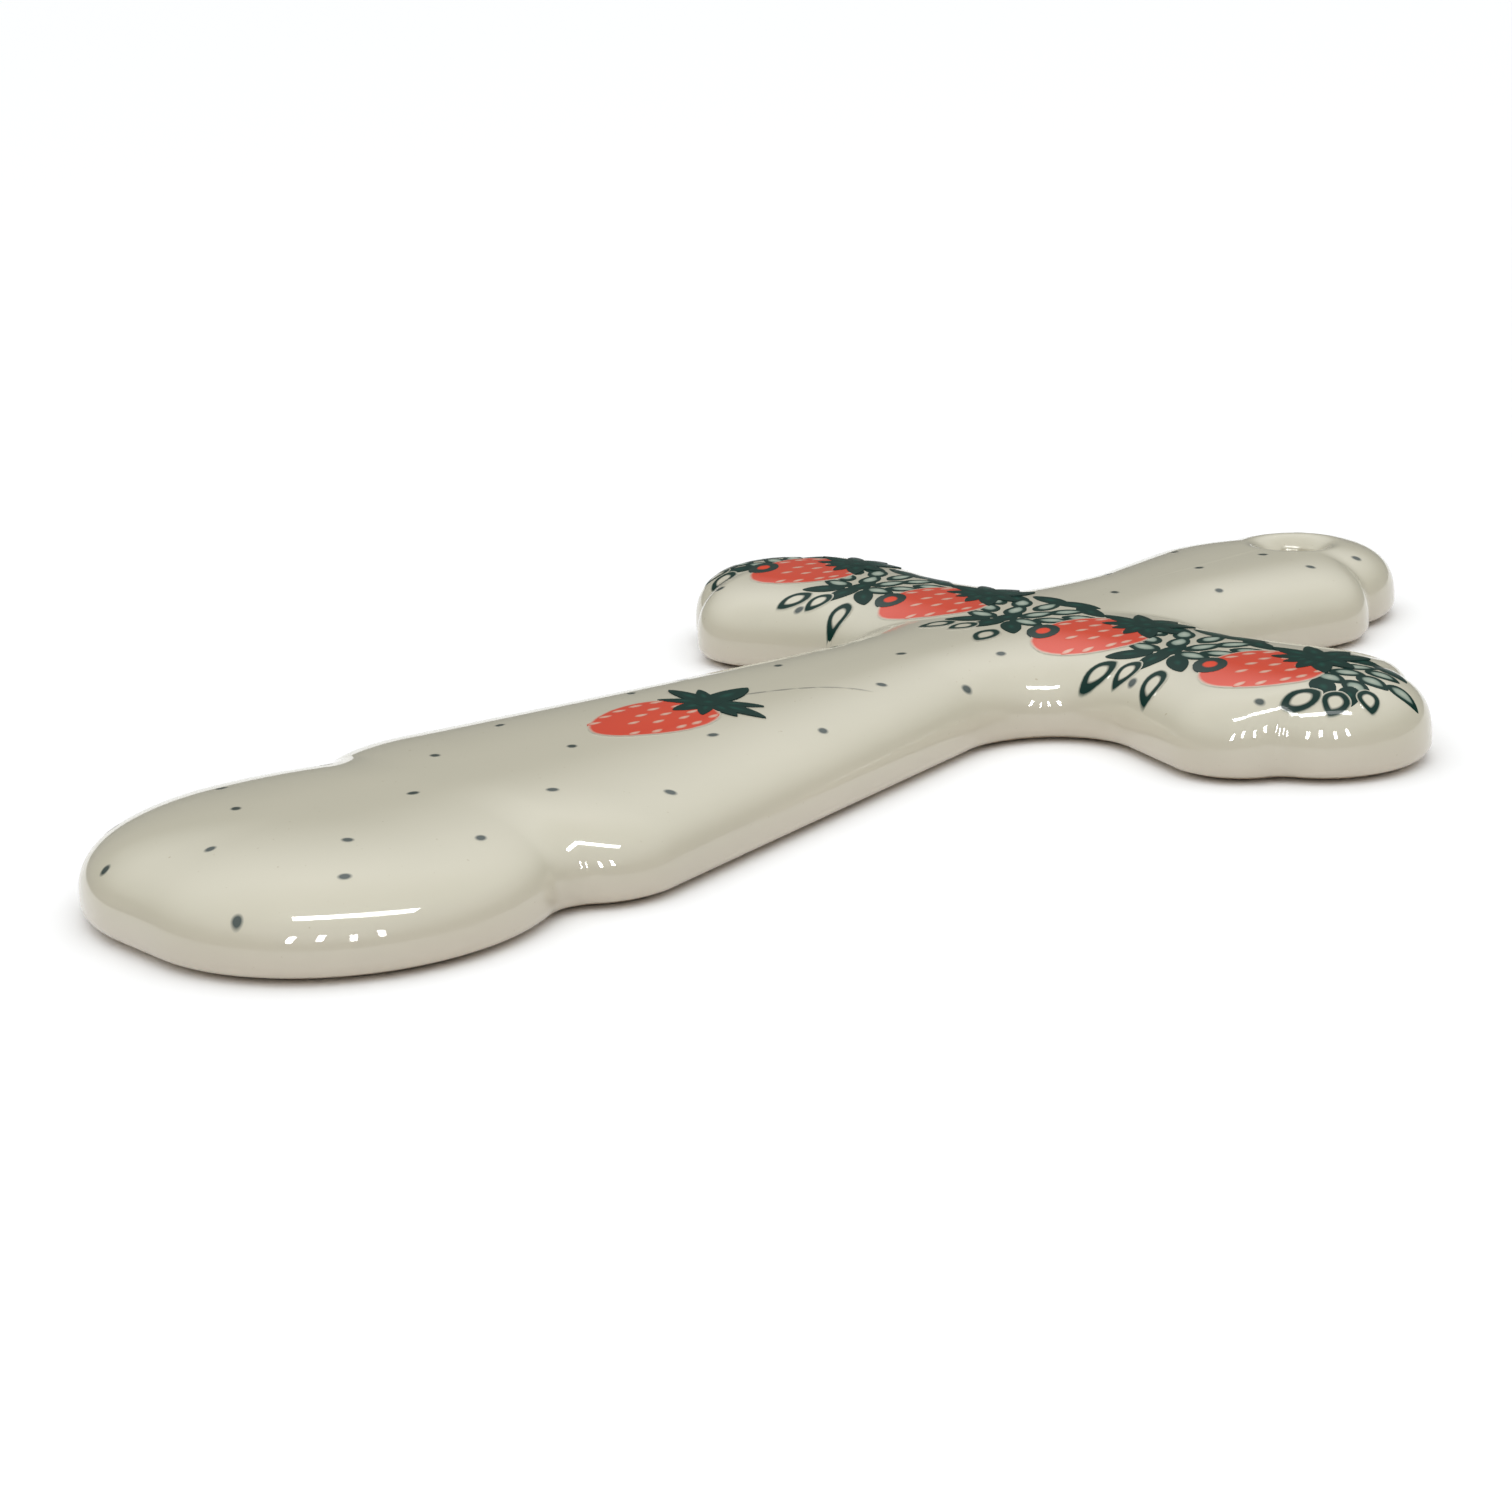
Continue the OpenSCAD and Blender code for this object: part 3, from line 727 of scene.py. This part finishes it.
# Sepals as angle, length and width
LONE_SEPALS = [(-154, 8.0, 2.2), (-98, 6.0, 3.6), (-48, 6.5, 2.2), (-12, 8.5, 2.1), (4, 11.5, 2.5),
               (28, 8.5, 2.0), (100, 9.0, 4.4), (150, 7.5, 2.0), (173, 10.5, 2.4)]
GARLAND_SEPALS = [(-166, 9.5, 3.0), (-132, 7.0, 2.8), (-100, 5.5, 2.6), (-60, 6.5, 2.8), (-26, 8.5, 3.0),
                  (10, 7.5, 2.8), (70, 7.5, 4.2), (110, 7.0, 3.6), (160, 8.5, 2.8)]

# Leaves of one spray, from the middle of a gap: across, up, angle, length, width, and 1 where the
# leaf is outlined or 0 where it is dark all over
SPRAY = [
    (-7.5, 10.5, 150, 8.0, 3.2, 0), (-2.5, 12.5, 170, 8.5, 3.0, 0),
    (3.0, 12.5, 10, 8.5, 3.0, 0), (7.5, 10.8, -20, 8.0, 3.0, 0),
    (-9.0, 7.2, 160, 6.2, 3.2, 1), (-4.5, 8.6, 130, 6.2, 3.2, 1), (0.3, 9.0, 95, 6.0, 3.2, 1),
    (5.0, 8.4, 55, 6.2, 3.2, 1), (9.2, 6.8, 20, 6.2, 3.0, 1),
    (-6.6, 3.6, 150, 6.0, 3.0, 1), (-2.0, 4.6, 115, 6.2, 3.2, 1),
    (2.6, 4.6, 70, 6.2, 3.2, 1), (6.8, 3.2, 25, 6.0, 3.0, 1),
    (-4.6, 0.0, 175, 6.4, 3.0, 1), (0.0, 0.8, 90, 6.0, 3.0, 0), (4.4, 0.2, 0, 6.4, 3.0, 1),
    (-4.4, -3.2, 215, 6.8, 3.0, 0), (0.0, -3.4, 265, 6.6, 3.2, 0), (4.6, -3.2, 320, 6.8, 3.0, 0),
]
# Outlined leaves that hang under one spray: across, up, angle, length, width
HANGING = [(-5.6, -8.4, 248, 6.4, 3.8), (-1.4, -7.2, 262, 5.6, 3.4), (5.0, -9.0, 290, 7.0, 3.8)]
# The spray and the hanging leaves that close the garland at the end of the right arm, by place on
# the cross; the left arm's are their mirror image
END_SPRAY = [
    (55.5, 7.6, 15, 7.5, 3.2, 0), (60.5, 7.4, -15, 7.0, 3.0, 0),
    (57.4, 4.4, 40, 5.4, 3.2, 1), (61.6, 4.2, 10, 5.2, 3.0, 1),
    (58.2, 1.0, 15, 5.4, 3.2, 1), (62.6, 0.8, 0, 5.2, 3.2, 1), (66.2, 2.6, 20, 4.4, 2.8, 1),
    (58.0, -2.4, -10, 5.8, 3.2, 1), (62.6, -2.6, -15, 5.2, 3.2, 1),
    (59.4, -5.6, -35, 6.4, 3.4, 0), (63.2, -5.0, -60, 4.6, 3.0, 0),
]
END_LOOPS = [(58.8, -9.6, 245, 6.4, 4.2), (62.8, -7.4, 285, 4.8, 4.0), (65.4, -3.6, 320, 4.2, 3.2)]

# Small dots over the plain parts of the face
DOTS = [(-8, -103), (15.5, -102), (4, -115), (22, -118), (-8.5, -133), (13, -131), (21, -137),
        (1.5, -143), (-10, -151), (17, -149.5), (24, -90), (12.5, -73), (18.5, -59), (3, -89),
        (11, -41), (2.5, -29), (15.5, -29), (-7, -44), (-20, -112), (-20, -128), (-24, -142),
        (-14, -88), (-13, -66), (-14, -56), (-36, -13.8), (11.5, -18), (32.5, -13.6), (55, -13.5),
        (-55, -13.5), (1, 37), (11, 30), (1.5, 17), (12.5, 50), (12, 62), (-9, 27), (-11, 45),
        (-12, 58), (3, 50), (-5, 69)]
DOT_SIZE = (2.0, 1.6)
# Each dot is turned this much further than the one before
DOT_TURN = 40

# The stalk of the lone strawberry, with a width for each stretch
STALK = [(1.5, -58), (3.0, -54.5), (4.6, -51.4), (6.6, -48.6), (9.0, -46.2), (11.8, -44.2)]
STALK_WIDTHS = [0.9, 0.8, 0.7, 0.6, 0.5]
# The curl at the lower left of a garland strawberry: across and up from its middle, then its size
CURL_PLACE = (-5.4, -4.6)
CURL_SIZE = (6.4, 4.8)
CURL_ANGLE = 125


def spray_leaves():
    """The dense leaves between the strawberries and beyond the outer two."""
    patches = []
    for gx, gy in GAPS:
        for k, (across, up, angle, length, width, kind) in enumerate(SPRAY):
            place = (gx + across, gy + up)
            patches.append(leaf(*place, angle, length, width, LEAF_STEP * k, kind))
    for side in (1, -1):
        for k, (x, y, angle, length, width, kind) in enumerate(END_SPRAY):
            turn = angle if side > 0 else 180 - angle
            patches.append(leaf(side * x, y, turn, length, width, LEAF_STEP * k, kind))
    return patches


def hanging_loops():
    """The outlined leaves below the sprays."""
    patches = []
    for gx, gy in GAPS:
        for k, (across, up, angle, length, width) in enumerate(HANGING):
            patches.append(leaf(gx + across, gy + up, angle, length, width, LOOP_LAYER + k))
    for side in (1, -1):
        for k, (x, y, angle, length, width) in enumerate(END_LOOPS):
            turn = angle if side > 0 else 180 - angle
            patches.append(leaf(side * x, y, turn, length, width, LOOP_LAYER + k))
    return patches


def rings_of_garland():
    """A dark curl with red inside at the lower left of each strawberry."""
    patches = []
    for place in GARLAND:
        x, y = along(place, GARLAND_TILT, *CURL_PLACE)
        patches.append(oval(x, y, CURL_ANGLE, *CURL_SIZE, ON_BERRY_LAYER + 2, RING_BANDS))
    return patches


def on_garland(make, *more):
    """The patches that a function makes for each strawberry of the garland."""
    return [patch for place in GARLAND for patch in make(place, GARLAND_SIZE, GARLAND_TILT, *more)]


def scattered():
    return [oval(x, y, DOT_TURN * k, *DOT_SIZE, 1) for k, (x, y) in enumerate(DOTS)]


build_clay()
build_glaze()
painted("lone_strawberry", "lone_berry", [BERRY], strawberry(LONE, LONE_SIZE, 0))
painted("lone_sepals", "lone_calyx", [LEAF], calyx_of(LONE, LONE_SIZE, 0, LONE_SEPALS))
painted("lone_stalk_line", "lone_stalk", [LINE], stroke(STALK, STALK_WIDTHS, 2))
painted("garland_strawberries", "garland_berries", [BERRY], on_garland(strawberry))
painted("garland_sepals", "garland_calyxes", [LEAF], on_garland(calyx_of, GARLAND_SEPALS))
painted("garland_curls", "garland_rings", [RING], rings_of_garland())
painted("garland_spray", "garland_leaves", [LEAF, LEAF_OPEN], spray_leaves())
painted("garland_hanging_leaves", "leaf_loops", [LEAF_LOOP], hanging_loops())
painted("pale_seeds", "berry_seeds", [SEED],
        seeds_of(LONE, LONE_SIZE, 0) + on_garland(seeds_of))
painted("dark_dots", "scattered_dots", [DOT], scattered())


# ------------------------------------------------------------------ camera, floor and lights
# The camera's bearing from -Y towards +X, its height angle and its roll
VIEW_TURN, VIEW_RISE, VIEW_ROLL = radians(49.35), radians(16.07), radians(-3.0)
VIEW_DISTANCE = 466.5
# The camera's place beside its line of sight through the origin: to the left, and up
SIDE_STEP, UP_STEP = 41.3, -9.64
LENS, SENSOR = 74.2, 36
NEAREST = 0.01
FLOOR_HALF = 6000.0


def view_axes():
    """The camera's right, up and back directions."""
    back = Vector((np.sin(VIEW_TURN) * np.cos(VIEW_RISE), -np.cos(VIEW_TURN) * np.cos(VIEW_RISE),
                   np.sin(VIEW_RISE)))
    level = Vector((0, 0, 1)).cross(back).normalized()
    upright = back.cross(level)
    right = level * np.cos(VIEW_ROLL) + upright * np.sin(VIEW_ROLL)
    return right, back.cross(right), back


def add_camera():
    right, up, back = view_axes()
    place = (back * VIEW_DISTANCE - right * SIDE_STEP + up * UP_STEP) * MM
    data = bpy.data.cameras.new("camera")
    data.lens = LENS
    data.sensor_width = SENSOR
    data.clip_start = NEAREST
    camera = bpy.data.objects.new("camera", data)
    camera.matrix_world = Matrix.Translation(place) @ Matrix((right, up, back)).transposed().to_4x4()
    bpy.context.scene.collection.objects.link(camera)
    bpy.context.scene.camera = camera


def add_floor():
    """A plain pale floor under the back of the cross."""
    corners = [(x * FLOOR_HALF, y * FLOOR_HALF, 0) for x, y in ((-1, -1), (1, -1), (1, 1), (-1, 1))]
    floor = mesh_object("floor", corners, [[0, 1, 2, 3]], [])
    floor.data.materials.append(material("pale_floor", (0.99, 0.99, 0.99), 0.7, coat=0.0)[0])


def add_gloss_light(name, turn, rise, distance, width, height, power):
    """A lamp that only shows in the gloss and faces the cross.

    Its turn counts in degrees from the camera's side, and its sizes are in metres.
    """
    t, r = VIEW_TURN + radians(turn), radians(rise)
    away = Vector((np.sin(t) * np.cos(r), -np.cos(t) * np.cos(r), np.sin(r)))
    data = bpy.data.lights.new(name, "AREA")
    data.shape = "RECTANGLE"
    data.size, data.size_y = width, height
    data.energy = power
    light = bpy.data.objects.new(name, data)
    light.visible_diffuse = False
    facing = away.to_track_quat("Z", "Y").to_matrix().to_4x4()
    light.matrix_world = Matrix.Translation(away * distance) @ facing
    bpy.context.scene.collection.objects.link(light)


# Sky colours by height, from the horizon (0) to overhead (1)
SKY_LOW = (0.10, 0.10, 0.095)
SKY_HIGH = (0.98, 0.99, 1.0)
SKY = [(0.0, SKY_LOW), (0.30, SKY_LOW), (0.72, SKY_HIGH), (1.0, SKY_HIGH)]
SKY_STRENGTH = 1.42


def add_world():
    """A soft studio: bright overhead and dim towards the horizon."""
    world = bpy.data.worlds.new("studio")
    world.use_nodes = True
    nodes, links = world.node_tree.nodes, world.node_tree.links
    split = nodes.new("ShaderNodeSeparateXYZ")
    links.new(nodes.new("ShaderNodeTexCoord").outputs["Generated"], split.inputs[0])
    back = nodes["Background"]
    links.new(ramp(nodes, links, split.outputs["Z"], SKY), back.inputs["Color"])
    back.inputs["Strength"].default_value = SKY_STRENGTH
    bpy.context.scene.world = world


def add_lights():
    """A long lamp over the cross for its streaks of shine, and a row of tall ones like windows."""
    add_gloss_light("overhead", turn=0, rise=77, distance=1.2, width=0.85, height=0.18, power=16)
    for step, bearing in enumerate((-26, -12, 4, 18)):
        add_gloss_light("window_%d" % step, turn=bearing, rise=24 + 4 * (step % 2),
                        distance=1.3, width=0.07, height=0.34, power=5.0)


bpy.context.scene.view_settings.view_transform = "Standard"
add_camera()
add_floor()
add_world()
add_lights()
